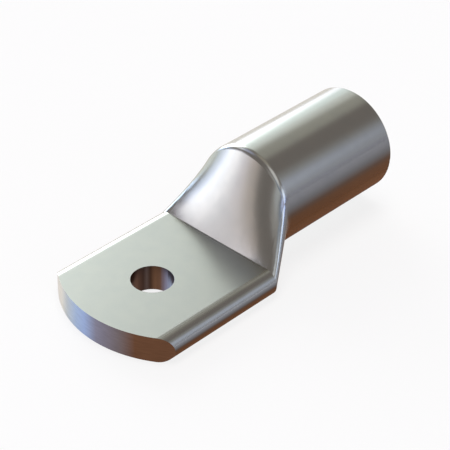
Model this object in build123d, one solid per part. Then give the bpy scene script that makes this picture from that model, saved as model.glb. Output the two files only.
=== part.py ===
# Aluminium cable lug: a tube pressed flat at one end into a palm with a bolt hole.
# The origin is the centre of the bolt hole on the palm's underside, with +X towards the
# open mouth of the barrel and +Z up through the palm.
from build123d import *
import os
from math import atan2, cos, pi, sin, tan

# Tube that the lug is pressed from
barrel_diameter = 28.0
wall = 3.5
hole_to_mouth = 72.0
mouth_edge_radius = 0.4
bore_lead_in = 1.0

# Palm
hole_to_nose = 20.0
nose_radius = 30.0
bolt_hole_diameter = 10.5

# Pressed shoulder between the palm and the barrel
hole_to_fold = 22.3
hole_to_shoulder = 32.3
shoulder_radius = 1.8
barrel_lift = 0.9
face_sections = 4
corner_sections = 8

# Closed end of the bore, where the two walls of the tube meet
seam_gap = 1.0

# The palm is two walls thick, and its section keeps the outer perimeter of the tube.
barrel_radius = barrel_diameter / 2
bore_radius = barrel_radius - wall
palm_thickness = 2 * wall
palm_flat = pi * (barrel_diameter - palm_thickness) / 2
palm_width = palm_flat + palm_thickness
axis_height = barrel_lift + barrel_radius
barrel_top = barrel_lift + barrel_diameter

# On the round tube the palm's flat becomes an arc of the same length.
crown_half_angle = palm_flat / barrel_diameter


# Closed outline of four tangent arcs across the tube at x, from flat (0) to round (1)
def pressed_section(x, roundness, half_width, top, base):
    middle = (top + base) / 2
    half_height = (top - base) / 2

    def at(y, z):
        return (x, y, middle + z)

    if roundness <= 0:
        side_radius = half_height
        crown_end = half_width - side_radius
        crown = Line(at(crown_end, half_height), at(-crown_end, half_height))
        floor = Line(at(-crown_end, -half_height), at(crown_end, -half_height))
        corner = half_height
    else:
        angle = crown_half_angle * roundness
        scale = sin(angle) * cos(angle) - (1 - sin(angle)) * (1 - cos(angle))
        crown_radius = (half_width * cos(angle) - half_height * (1 - sin(angle))) / scale
        side_radius = (half_height * sin(angle) - half_width * (1 - cos(angle))) / scale
        crown_end = crown_radius * sin(angle)
        corner = half_height - crown_radius * (1 - cos(angle))
        crown = ThreePointArc(at(crown_end, corner), at(0, half_height), at(-crown_end, corner))
        floor = ThreePointArc(at(-crown_end, -corner), at(0, -half_height), at(crown_end, -corner))
    near = ThreePointArc(at(-crown_end, corner), at(-half_width, 0), at(-crown_end, -corner))
    far = ThreePointArc(at(crown_end, -corner), at(half_width, 0), at(crown_end, corner))
    return Wire([crown, near, floor, far])


# Side profile of the shoulder: an inclined face, then a rounded corner into the barrel
rise = barrel_top - palm_thickness
face_angle = atan2(rise, hole_to_shoulder - hole_to_fold)
corner_setback = shoulder_radius * tan(face_angle / 2)
face_length = rise / sin(face_angle) - corner_setback
round_start = hole_to_shoulder + corner_setback


# Section of the shoulder at x, where its crown has risen to top
def shoulder_section(x, top):
    roundness = (top - palm_thickness) / rise
    half_width = palm_width / 2 - roundness * (palm_width / 2 - barrel_radius)
    along = (x - hole_to_fold) / (round_start - hole_to_fold)
    base = barrel_lift * along**2 * (3 - 2 * along)
    return pressed_section(x, roundness, half_width, top, base)


def make_face():
    sections = []
    for step in range(face_sections + 1):
        climb = face_length * step / face_sections
        x = hole_to_fold + climb * cos(face_angle)
        sections.append(shoulder_section(x, palm_thickness + climb * sin(face_angle)))
    return Part(Solid.make_loft(sections).wrapped)


def make_rounded_corner():
    sections = []
    for step in range(corner_sections + 1):
        angle = face_angle * (1 - step / corner_sections)
        x = round_start - shoulder_radius * sin(angle)
        sections.append(shoulder_section(x, barrel_top - shoulder_radius * (1 - cos(angle))))
    return Part(Solid.make_loft(sections).wrapped)


# Flat palm with full-round sides and a nose cut to an arc
def make_palm():
    blank_end = hole_to_nose + palm_thickness
    outline = Face(pressed_section(-blank_end, 0, palm_width / 2, palm_thickness, 0))
    blank = extrude(outline, amount=blank_end + hole_to_fold, dir=(1, 0, 0))
    centre = nose_radius - hole_to_nose
    behind_nose = Pos(centre, 0, 0) * Box(
        hole_to_fold - centre,
        palm_width,
        palm_thickness,
        align=(Align.MIN, Align.CENTER, Align.MIN),
    )
    nose = Pos(centre, 0, 0) * Cylinder(
        nose_radius, palm_thickness, align=(Align.CENTER, Align.CENTER, Align.MIN)
    )
    return blank & (nose + behind_nose)


# Round barrel from the end of the shoulder to the mouth, its outer edge rounded
def make_barrel():
    barrel = Pos(round_start, 0, axis_height) * Rot(0, 90, 0) * Cylinder(
        barrel_radius, hole_to_mouth - round_start, align=(Align.CENTER, Align.CENTER, Align.MIN)
    )
    return fillet(barrel.edges().sort_by(Axis.X)[-1], mouth_edge_radius)


# Round bore with a lead-in, closing at a shallow seam where the walls are pressed together
def make_bore():
    bore_shift = wall * tan(face_angle / 2)
    bore_start = hole_to_shoulder + bore_shift
    bore_floor = barrel_lift + wall
    seam_x = bore_start - (2 * bore_radius - seam_gap) / tan(face_angle)
    side_angle = atan2(palm_width / 2 - barrel_radius, hole_to_shoulder - hole_to_fold)
    outer_half_width = palm_width / 2 - (seam_x - hole_to_fold) * tan(side_angle)
    seam_half_width = outer_half_width - wall / cos(side_angle)
    seam = pressed_section(seam_x, 0, seam_half_width, bore_floor + seam_gap, bore_floor)
    round_bore = pressed_section(bore_start, 1, bore_radius, bore_floor + 2 * bore_radius, bore_floor)
    closed_end = Part(Solid.make_loft([seam, round_bore], ruled=True).wrapped)
    along_barrel = Pos(bore_start, 0, axis_height) * Rot(0, 90, 0)
    from_start = (Align.CENTER, Align.CENTER, Align.MIN)
    straight = along_barrel * Cylinder(bore_radius, hole_to_mouth - bore_start, align=from_start)
    at_lead_in = Pos(hole_to_mouth - bore_lead_in, 0, axis_height) * Rot(0, 90, 0)
    lead_in = at_lead_in * Cone(bore_radius, bore_radius + bore_lead_in, bore_lead_in, align=from_start)
    return closed_end + straight + lead_in


def make_lug():
    lug = make_palm() + make_face() + make_rounded_corner() + make_barrel()
    bolt_hole = Cylinder(bolt_hole_diameter / 2, 3 * palm_thickness)
    return lug - make_bore() - bolt_hole


os.makedirs("parts", exist_ok=True)
export_step(make_lug(), "parts/cable_lug.step")
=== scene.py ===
# Aluminium cable lug, dressed and lit for its picture: a tube pressed flat at one end into
# a palm with a bolt hole, with a satin finish all over and bare metal where it was cut.
import bpy
from math import cos, radians, sin
from mathutils import Matrix, Vector

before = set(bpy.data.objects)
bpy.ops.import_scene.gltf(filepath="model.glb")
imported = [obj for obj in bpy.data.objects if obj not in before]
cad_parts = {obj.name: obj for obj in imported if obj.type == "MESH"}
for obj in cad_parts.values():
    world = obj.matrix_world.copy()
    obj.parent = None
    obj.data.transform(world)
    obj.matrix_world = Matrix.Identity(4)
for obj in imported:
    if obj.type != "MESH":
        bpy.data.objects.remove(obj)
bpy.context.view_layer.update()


# Camera: a long lens about 0.41 m away, looking down over the palm's front corner, and
# turned a little about its own line of sight, as the picture is.
camera_azimuth = radians(-47.632)
camera_elevation = radians(35.247)
camera_roll = radians(1.658)
camera_place = Vector((-0.2293, -0.23203, 0.25359))

backwards = Vector((
    sin(camera_azimuth) * cos(camera_elevation),
    -cos(camera_azimuth) * cos(camera_elevation),
    sin(camera_elevation),
))
level_right = Vector((cos(camera_azimuth), sin(camera_azimuth), 0))
level_up = backwards.cross(level_right)
camera_right = level_right * cos(camera_roll) + level_up * sin(camera_roll)
camera_up = level_up * cos(camera_roll) - level_right * sin(camera_roll)
camera_turn = Matrix((camera_right, camera_up, backwards)).transposed().to_4x4()

bpy.ops.object.camera_add()
camera = bpy.context.object
camera.name = "camera"
camera.matrix_world = Matrix.Translation(camera_place) @ camera_turn
camera.data.lens = 137.38
camera.data.sensor_width = 36
bpy.context.scene.camera = camera


# The lug: one length of aluminium tube, pressed flat into a palm, sheared to an arc at the
# nose, punched for the bolt and pickled to a satin grey. Its shape is the CAD node's own,
# and its sizes are repeated here only to find the cut faces.
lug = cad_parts["cable_lug"]
palm_half_width = 0.020
nose_centre = (0.010, 0, 0)
nose_radius = 0.030
bolt_hole_radius = 0.00525
fold_x = 0.0223
seam_x = 0.024
round_bore_x = 0.0355
mouth_x = 0.072
barrel_axis = (0, 0, 0.0149)
lead_in_reach = 0.0117

# Soft edges between the finishes: how far from a cut face its finish begins and is full,
# and how wide the edge of the bore's finish and of the palm's is.
cut_edge_begins = 0.00004
mouth_edge_begins = 0.00005
cut_edge_full = 0.00001
bore_edge_width = 0.0001
fold_edge_width = 0.0005

satin_grey = (0.58, 0.62, 0.56, 1)
cloudy_grey = (0.55, 0.595, 0.545, 1)
bored_grey = (0.76, 0.77, 0.75, 1)
turned_grey = (0.62, 0.64, 0.61, 1)
grazing_tint = (0.86, 0.79, 0.75, 1)

# Painted reflection on the low sides: brown and blue-grey bands by which way the skin faces, 0 for skin that
# faces down and 1 for skin that faces a little above level, with the colour of the bands, and how metallic
# the skin stays there, less on the low sides so that they mirror less of the bright floor (painted shade).
painted_low_reflection_colours = [
    (0.0, (1, 1, 1, 1)),
    (0.20, (0.34, 0.12, 0.045, 1)),
    (0.30, (0.33, 0.115, 0.04, 1)),
    (0.38, (0.27, 0.092, 0.026, 1)),
    (0.46, (0.20, 0.06, 0.01, 1)),
    (0.60, (0.172, 0.068, 0.033, 1)),
    (0.67, (0.157, 0.09, 0.073, 1)),
    (0.78, (0.245, 0.225, 0.26, 1)),
    (0.89, (0.38, 0.36, 0.43, 1)),
    (0.925, (0.54, 0.52, 0.60, 1)),
    (0.955, (0.82, 0.80, 0.88, 1)),
    (1.0, (1, 1, 1, 1)),
]
low_side_metal_shares = [
    (0.0, (1, 1, 1, 1)),
    (0.12, (0.1, 0.1, 0.1, 1)),
    (0.30, (0.1, 0.1, 0.1, 1)),
    (0.38, (0.25, 0.25, 0.25, 1)),
    (0.46, (0.5, 0.5, 0.5, 1)),
    (0.54, (0.8, 0.8, 0.8, 1)),
    (0.60, (1, 1, 1, 1)),
]
# Painted reflection on the sheared nose, brown to blue: 0 is at the palm's right side and 1 at its left.
nose_painted_reflection_colours = [
    (0.20, (0.155, 0.071, 0.038, 1)),
    (0.30, (0.188, 0.152, 0.16, 1)),
    (0.46, (0.25, 0.245, 0.33, 1)),
    (0.56, (0.37, 0.49, 0.79, 1)),
    (0.64, (0.41, 0.55, 0.81, 1)),
    (0.75, (0.57, 0.67, 0.75, 1)),
    (0.84, (0.92, 0.94, 0.88, 1)),
]
# Painted reflection in the punched hole, dark brown to blue bands, from 0 to 1 across it along the camera's
# level right.
across_hole = (0.674, -0.739, 0)
hole_painted_reflection_colours = [
    (0.14, (0.11, 0.055, 0.037, 1)),
    (0.27, (0.054, 0.029, 0.021, 1)),
    (0.35, (0.107, 0.072, 0.062, 1)),
    (0.43, (0.063, 0.032, 0.02, 1)),
    (0.55, (0.17, 0.085, 0.048, 1)),
    (0.66, (0.155, 0.08, 0.05, 1)),
    (0.80, (0.26, 0.25, 0.35, 1)),
    (0.90, (0.35, 0.42, 0.61, 1)),
]


def add_node(tree, kind, settings=None, values=None):
    node = tree.nodes.new(kind)
    for setting, value in (settings or {}).items():
        setattr(node, setting, value)
    for socket, value in (values or {}).items():
        if isinstance(value, bpy.types.NodeSocket):
            tree.links.new(value, node.inputs[socket])
        else:
            node.inputs[socket].default_value = value
    return node


def work_out(tree, operation, *numbers):
    return add_node(tree, "ShaderNodeMath", {"operation": operation}, dict(enumerate(numbers))).outputs[0]


def work_out_vector(tree, operation, *vectors):
    return add_node(tree, "ShaderNodeVectorMath", {"operation": operation}, dict(enumerate(vectors)))


# A value taken from the range low to high to a new range, and held inside that.
def rescale(tree, value, low, high, new_low=0, new_high=1, curve="LINEAR"):
    ends = {"Value": value, "From Min": low, "From Max": high, "To Min": new_low, "To Max": new_high}
    return add_node(tree, "ShaderNodeMapRange", {"interpolation_type": curve}, ends).outputs["Result"]


def blend_numbers(tree, share, first, second):
    return add_node(tree, "ShaderNodeMix", {"data_type": "FLOAT"}, {0: share, 2: first, 3: second}).outputs[0]


def blend_colours(tree, share, first, second, way="MIX"):
    settings = {"data_type": "RGBA", "blend_type": way}
    return add_node(tree, "ShaderNodeMix", settings, {0: share, 6: first, 7: second}).outputs[2]


# The colour at a place from 0 to 1 along a list of stops.
def colour_along(tree, place, stops):
    ramp = add_node(tree, "ShaderNodeValToRGB", None, {"Fac": place})
    steps = ramp.color_ramp.elements
    steps[0].position, steps[0].color = stops[0]
    steps[1].position, steps[1].color = stops[-1]
    for position, colour in stops[1:-1]:
        steps.new(position).color = colour
    return ramp.outputs["Color"]


def new_group(name, inputs, outputs):
    group = bpy.data.node_groups.new(name, "ShaderNodeTree")
    for socket, kind, value in inputs:
        group.interface.new_socket(socket, in_out="INPUT", socket_type=kind).default_value = value
    for socket, kind in outputs:
        group.interface.new_socket(socket, in_out="OUTPUT", socket_type=kind)
    return group, group.nodes.new("NodeGroupInput").outputs, group.nodes.new("NodeGroupOutput").inputs


def use_group(tree, group, values):
    return add_node(tree, "ShaderNodeGroup", {"node_tree": group}, values).outputs


# Rubbed grain: noise drawn out along one direction, as a colour mask and as a height.
grain, given, result = new_group(
    "rubbed_grain",
    [
        ("Place", "NodeSocketVector", (0, 0, 0)),
        ("Stretch", "NodeSocketVector", (1, 1, 1)),
        ("Scale", "NodeSocketFloat", 1000),
        ("Detail", "NodeSocketFloat", 3),
        ("Contrast", "NodeSocketFloat", 0.3),
    ],
    [("Mask", "NodeSocketFloat"), ("Height", "NodeSocketFloat")],
)
middle = 0.5
stretched = work_out_vector(grain, "MULTIPLY", given["Place"], given["Stretch"]).outputs[0]
lines = add_node(
    grain, "ShaderNodeTexNoise", None,
    {"Vector": stretched, "Scale": given["Scale"], "Detail": given["Detail"]},
).outputs["Fac"]
darkest = work_out(grain, "SUBTRACT", middle, given["Contrast"])
lightest = work_out(grain, "ADD", middle, given["Contrast"])
grain.links.new(rescale(grain, lines, darkest, lightest), result["Mask"])
grain.links.new(lines, result["Height"])

# Round cut: whether a place lies inside or outside a circle round an axis, with a soft edge.
round_cut, given, result = new_group(
    "round_cut",
    [
        ("Place", "NodeSocketVector", (0, 0, 0)),
        ("Centre", "NodeSocketVector", (0, 0, 0)),
        ("Across", "NodeSocketVector", (1, 1, 0)),
        ("From", "NodeSocketFloat", 0),
        ("To", "NodeSocketFloat", 1),
    ],
    [("Mask", "NodeSocketFloat")],
)
offset = work_out_vector(round_cut, "SUBTRACT", given["Place"], given["Centre"]).outputs[0]
across = work_out_vector(round_cut, "MULTIPLY", offset, given["Across"]).outputs[0]
distance = work_out_vector(round_cut, "LENGTH", across).outputs["Value"]
round_cut.links.new(rescale(round_cut, distance, given["From"], given["To"]), result["Mask"])

satin = bpy.data.materials.new("satin_aluminium")
satin.use_nodes = True
tree = satin.node_tree
shader = tree.nodes["Principled BSDF"]
place = add_node(tree, "ShaderNodeTexCoord").outputs["Object"]
facing = add_node(tree, "ShaderNodeNewGeometry").outputs["Normal"]
place_parts = add_node(tree, "ShaderNodeSeparateXYZ", None, {"Vector": place}).outputs
place_x = place_parts["X"]
place_y = place_parts["Y"]
facing_x, facing_y, facing_z = add_node(tree, "ShaderNodeSeparateXYZ", None, {"Vector": facing}).outputs

# Satin skin: slightly cloudy from the pickling bath, with a painted reflection low down, brown and blue-grey
# bands by which way the skin faces, which reaches a little higher on the long sides.
painted_low_reflection_lean = -0.1
painted_low_reflection_bottom = -0.9
painted_low_reflection_top = 0.41
clouds = use_group(tree, grain, {"Place": place, "Scale": 260, "Detail": 4, "Contrast": 0.22})
skin = blend_colours(tree, clouds["Mask"], satin_grey, cloudy_grey)
sideways = work_out(tree, "MULTIPLY", facing_y, facing_y)
height_faced = work_out(tree, "MULTIPLY_ADD", sideways, painted_low_reflection_lean, facing_z)
painted_low_reflection_place = rescale(tree, height_faced, painted_low_reflection_bottom, painted_low_reflection_top)
painted_low_reflection = colour_along(tree, painted_low_reflection_place, painted_low_reflection_colours)
with_painted_low_reflection = blend_colours(tree, 1, skin, painted_low_reflection, "MULTIPLY")

# Sheared nose: drag lines along the arc, and a painted reflection that runs from brown to blue.
mark_strength = 0.2
nose = use_group(
    tree, round_cut,
    {
        "Place": place,
        "Centre": nose_centre,
        "From": nose_radius - cut_edge_begins,
        "To": nose_radius - cut_edge_full,
    },
)
before_hole = work_out(tree, "LESS_THAN", place_x, 0)
on_nose = work_out(tree, "MULTIPLY", nose["Mask"], before_hole)
drag = use_group(
    tree, grain,
    {"Place": place, "Stretch": (0.12, 0.12, 1), "Scale": 2600, "Detail": 3, "Contrast": 0.25},
)
along_nose = rescale(tree, place_y, -palm_half_width, palm_half_width)
nose_painted_reflection = colour_along(tree, along_nose, nose_painted_reflection_colours)
nose_reflection_and_drag = blend_colours(tree, mark_strength, nose_painted_reflection, drag["Mask"], "MULTIPLY")
with_nose = blend_colours(tree, on_nose, with_painted_low_reflection, nose_reflection_and_drag)

# Punched hole: upright score marks from the punch, and a painted reflection in bands across the hole.
hole = use_group(
    tree, round_cut,
    {
        "Place": place,
        "From": bolt_hole_radius + cut_edge_begins,
        "To": bolt_hole_radius + cut_edge_full,
    },
)
scores = use_group(
    tree, grain,
    {"Place": place, "Stretch": (1, 1, 0.05), "Scale": 900, "Detail": 2, "Contrast": 0.2},
)
hole_side = work_out_vector(tree, "DOT_PRODUCT", place, across_hole).outputs["Value"]
hole_place = rescale(tree, hole_side, -bolt_hole_radius, bolt_hole_radius)
hole_painted_reflection = colour_along(tree, hole_place, hole_painted_reflection_colours)
hole_reflection_and_scores = blend_colours(tree, mark_strength, hole_painted_reflection, scores["Mask"], "MULTIPLY")
with_hole = blend_colours(tree, hole["Mask"], with_nose, hole_reflection_and_scores)

# Bore and mouth: the bore is drawn along its length up to its closed end, whose faces look
# towards the mouth, and the mouth is turned square.
mouthward = 0.2
bore = use_group(
    tree, round_cut,
    {
        "Place": place,
        "Centre": barrel_axis,
        "Across": (0, 1, 1),
        "From": lead_in_reach + bore_edge_width,
        "To": lead_in_reach,
    },
)
in_round_bore = work_out(tree, "GREATER_THAN", place_x, round_bore_x)
past_seam = work_out(tree, "GREATER_THAN", place_x, seam_x)
faces_mouth = work_out(tree, "GREATER_THAN", facing_x, mouthward)
in_closed_end = work_out(tree, "MULTIPLY", past_seam, faces_mouth)
inside = work_out(tree, "MAXIMUM", in_round_bore, in_closed_end)
in_bore = work_out(tree, "MULTIPLY", bore["Mask"], inside)
drawn = use_group(
    tree, grain,
    {"Place": place, "Stretch": (0.06, 1, 1), "Scale": 1400, "Detail": 3, "Contrast": 0.25},
)
bored = blend_colours(tree, mark_strength, bored_grey, drawn["Mask"], "MULTIPLY")
with_bore = blend_colours(tree, in_bore, with_hole, bored)
at_mouth = rescale(tree, place_x, mouth_x - mouth_edge_begins, mouth_x - cut_edge_full)
coloured = blend_colours(tree, at_mouth, with_bore, turned_grey)
tree.links.new(coloured, shader.inputs["Base Color"])

# Sheen: smoothest on the drawn skin, a little duller on the palm's pressed top and dullest
# on the cut faces and in the bore.
smooth_skin = 0.19
cloudy_skin = 0.215
pressed_top = 0.28
cut_face = 0.30
nearly_flat = 0.9
cut = work_out(tree, "MAXIMUM", on_nose, hole["Mask"])
cut_or_bored = work_out(tree, "MAXIMUM", cut, in_bore)
skin_roughness = rescale(tree, clouds["Mask"], 0, 1, smooth_skin, cloudy_skin)
faces_up = rescale(tree, facing_z, nearly_flat, 1)
before_fold = rescale(tree, place_x, fold_x, fold_x - fold_edge_width)
on_palm_top = work_out(tree, "MULTIPLY", faces_up, before_fold)
with_palm = blend_numbers(tree, on_palm_top, skin_roughness, pressed_top)
roughness = blend_numbers(tree, cut_or_bored, with_palm, cut_face)
tree.links.new(roughness, shader.inputs["Roughness"])

# Relief: fine pits in the skin, and the marks of the tools on the nose and in the hole.
pits = use_group(tree, grain, {"Place": place, "Scale": 5200, "Detail": 2})
tool_marks = blend_numbers(tree, on_nose, scores["Height"], drag["Height"])
texture = blend_numbers(tree, cut, pits["Height"], tool_marks)
relief = add_node(tree, "ShaderNodeBump", None, {"Strength": 0.15, "Distance": 0.00002, "Height": texture})
tree.links.new(relief.outputs["Normal"], shader.inputs["Normal"])

# Metal: fully metallic everywhere but on the low sides, which are made partly matte so that they mirror less
# of the bright floor, a painted shade; the bore stays fully metallic.
low_side_metallic = colour_along(tree, painted_low_reflection_place, low_side_metal_shares)
tree.links.new(blend_numbers(tree, in_bore, low_side_metallic, 1), shader.inputs["Metallic"])
shader.inputs["Specular IOR Level"].default_value = 0
shader.inputs["Specular Tint"].default_value = grazing_tint
lug.material_slots[0].material = satin


# Floor: a sheet of white paper under the lug, wide enough to fill the view from any side.
# The camera and the metal see it mostly as evenly lit, with the lug's soft shadow on it.
paper_size = 6
paper_drop = 0.00002
paper_white = (0.95, 0.95, 0.95, 1)
evenly_lit_share = 0.8
bpy.ops.mesh.primitive_plane_add(size=paper_size, location=(0, 0, -paper_drop))
floor = bpy.context.object
floor.name = "floor"
paper = bpy.data.materials.new("white_paper")
paper.use_nodes = True
tree = paper.node_tree
dull = tree.nodes["Principled BSDF"]
dull.inputs["Base Color"].default_value = paper_white
dull.inputs["Roughness"].default_value = 1
dull.inputs["Specular IOR Level"].default_value = 0
glow = add_node(tree, "ShaderNodeEmission", None, {"Color": (1, 1, 1, 1), "Strength": 1})
ray = add_node(tree, "ShaderNodeLightPath").outputs
seen_or_mirrored = work_out(tree, "MAXIMUM", ray["Is Camera Ray"], ray["Is Glossy Ray"])
seen = work_out(tree, "MAXIMUM", seen_or_mirrored, ray["Is Transmission Ray"])
lit_share = work_out(tree, "MULTIPLY", seen, evenly_lit_share)
lit_paper = add_node(
    tree, "ShaderNodeMixShader", None,
    {0: lit_share, 1: dull.outputs["BSDF"], 2: glow.outputs["Emission"]},
)
tree.links.new(lit_paper.outputs["Shader"], tree.nodes["Material Output"].inputs["Surface"])
floor.data.materials.append(paper)


# Studio light: a round soft box straight above, which doesn't show in the metal, and a dim
# grey room with soft windows all round, which give the metal its light and dark bands.
soft_box_place = (0.026, 0, 0.95)
bpy.ops.object.light_add(type="AREA", location=soft_box_place)
soft_box = bpy.context.object
soft_box.name = "soft_box"
soft_box.data.shape = "DISK"
soft_box.data.size = 0.5
soft_box.data.energy = 3.7
soft_box.data.color = (1, 1, 1)
soft_box.visible_glossy = False

room_grey = (0.211, 0.177, 0.173, 1)
windows = {
    # name: azimuth from +X, elevation, bright half width, dark half width, colour
    "key": (72, 20, 10, 26, (3.91, 3.99, 4.03)),
    "key_low": (60, 4, 6, 20, (1.12, 1, 1.31)),
    "key_side": (45, 9, 5, 22, (0.72, 0.85, 0.93)),
    "palm_side": (55, 36, 4, 17, (0.58, 0.63, 0.65)),
    "left_low": (122, 2, 4, 14, (0.8, 0.89, 1.24)),
    "left_slot": (135, 7, 4, 11, (1.03, 0.95, 0.98)),
    "left_strip": (136, 7, 5, 20, (0.59, 0.56, 0.72)),
    "left_dim": (154, 8, 4, 12, (0.46, 0.37, 0.36)),
    "left_high": (104, 36, 5, 16, (0.55, 0.52, 0.48)),
    "high_left": (110, 50, 8, 23, (0.25, 0.27, 0.44)),
    "front": (-154, 30, 6, 24, (0.18, 0.17, 0.18)),
    "front_left": (-148, 12, 5, 20, (0.2, 0.24, 0.29)),
    "front_mid": (-118, 32, 6, 22, (0.04, 0.1, 0.19)),
    "front_low": (-110, 12, 5, 16, (0.58, 0.63, 1.08)),
    "right": (-78, 16, 4, 18, (1.03, 1.12, 1.47)),
    "right_slot": (-72, 6, 3, 12, (0.3, 0.5, 1.03)),
    "right_dim": (-48, 16, 6, 22, (0.15, 0.17, 0.24)),
    "high_right": (-100, 55, 8, 26, (0.6, 0.57, 0.6)),
    "high_dim": (24, 46, 5, 19, (0.2, 0.2, 0.18)),
    "barrel_side": (36, 29, 4, 14, (0.48, 0.49, 0.5)),
    "right_edge": (-54, 22, 3, 12, (0.18, 0.2, 0.28)),
    "right_high": (-46, 36, 3, 12, (0.1, 0.11, 0.12)),
    "top": (0, 82, 8, 26, (0.16, 0.14, 0.11)),
    "back_mid": (92, 10, 5, 16, (1.52, 1.86, 2.71)),
}

# Soft window: adds its colour to the room's light near one direction, fading at its edge.
window, given, result = new_group(
    "soft_window",
    [
        ("Light", "NodeSocketColor", (0, 0, 0, 1)),
        ("Direction", "NodeSocketVector", (0, 0, 1)),
        ("Towards", "NodeSocketVector", (0, 0, 1)),
        ("Dark Edge", "NodeSocketFloat", 0.9),
        ("Bright Edge", "NodeSocketFloat", 1),
        ("Colour", "NodeSocketVector", (1, 1, 1)),
    ],
    [("Light", "NodeSocketColor")],
)
nearness = work_out_vector(window, "DOT_PRODUCT", given["Direction"], given["Towards"]).outputs["Value"]
brightness = rescale(window, nearness, given["Dark Edge"], given["Bright Edge"], curve="SMOOTHSTEP")
pane = add_node(
    window, "ShaderNodeVectorMath", {"operation": "SCALE"},
    {0: given["Colour"], "Scale": brightness},
).outputs[0]
with_pane = work_out_vector(window, "ADD", given["Light"], pane).outputs[0]
window.links.new(with_pane, result["Light"])

room = bpy.data.worlds.new("room")
bpy.context.scene.world = room
room.use_nodes = True
tree = room.node_tree
looking = add_node(tree, "ShaderNodeTexCoord").outputs["Generated"]
direction = work_out_vector(tree, "NORMALIZE", looking).outputs[0]
light = room_grey
for name, (azimuth, elevation, bright, dark, colour) in windows.items():
    level = cos(radians(elevation))
    towards = (cos(radians(azimuth)) * level, sin(radians(azimuth)) * level, sin(radians(elevation)))
    hung = add_node(
        tree, "ShaderNodeGroup", {"node_tree": window, "name": name},
        {
            "Light": light,
            "Direction": direction,
            "Towards": towards,
            "Dark Edge": cos(radians(dark)),
            "Bright Edge": cos(radians(bright)),
            "Colour": colour,
        },
    )
    light = hung.outputs["Light"]
tree.links.new(light, tree.nodes["Background"].inputs["Color"])
bpy.context.scene.view_settings.view_transform = "Standard"
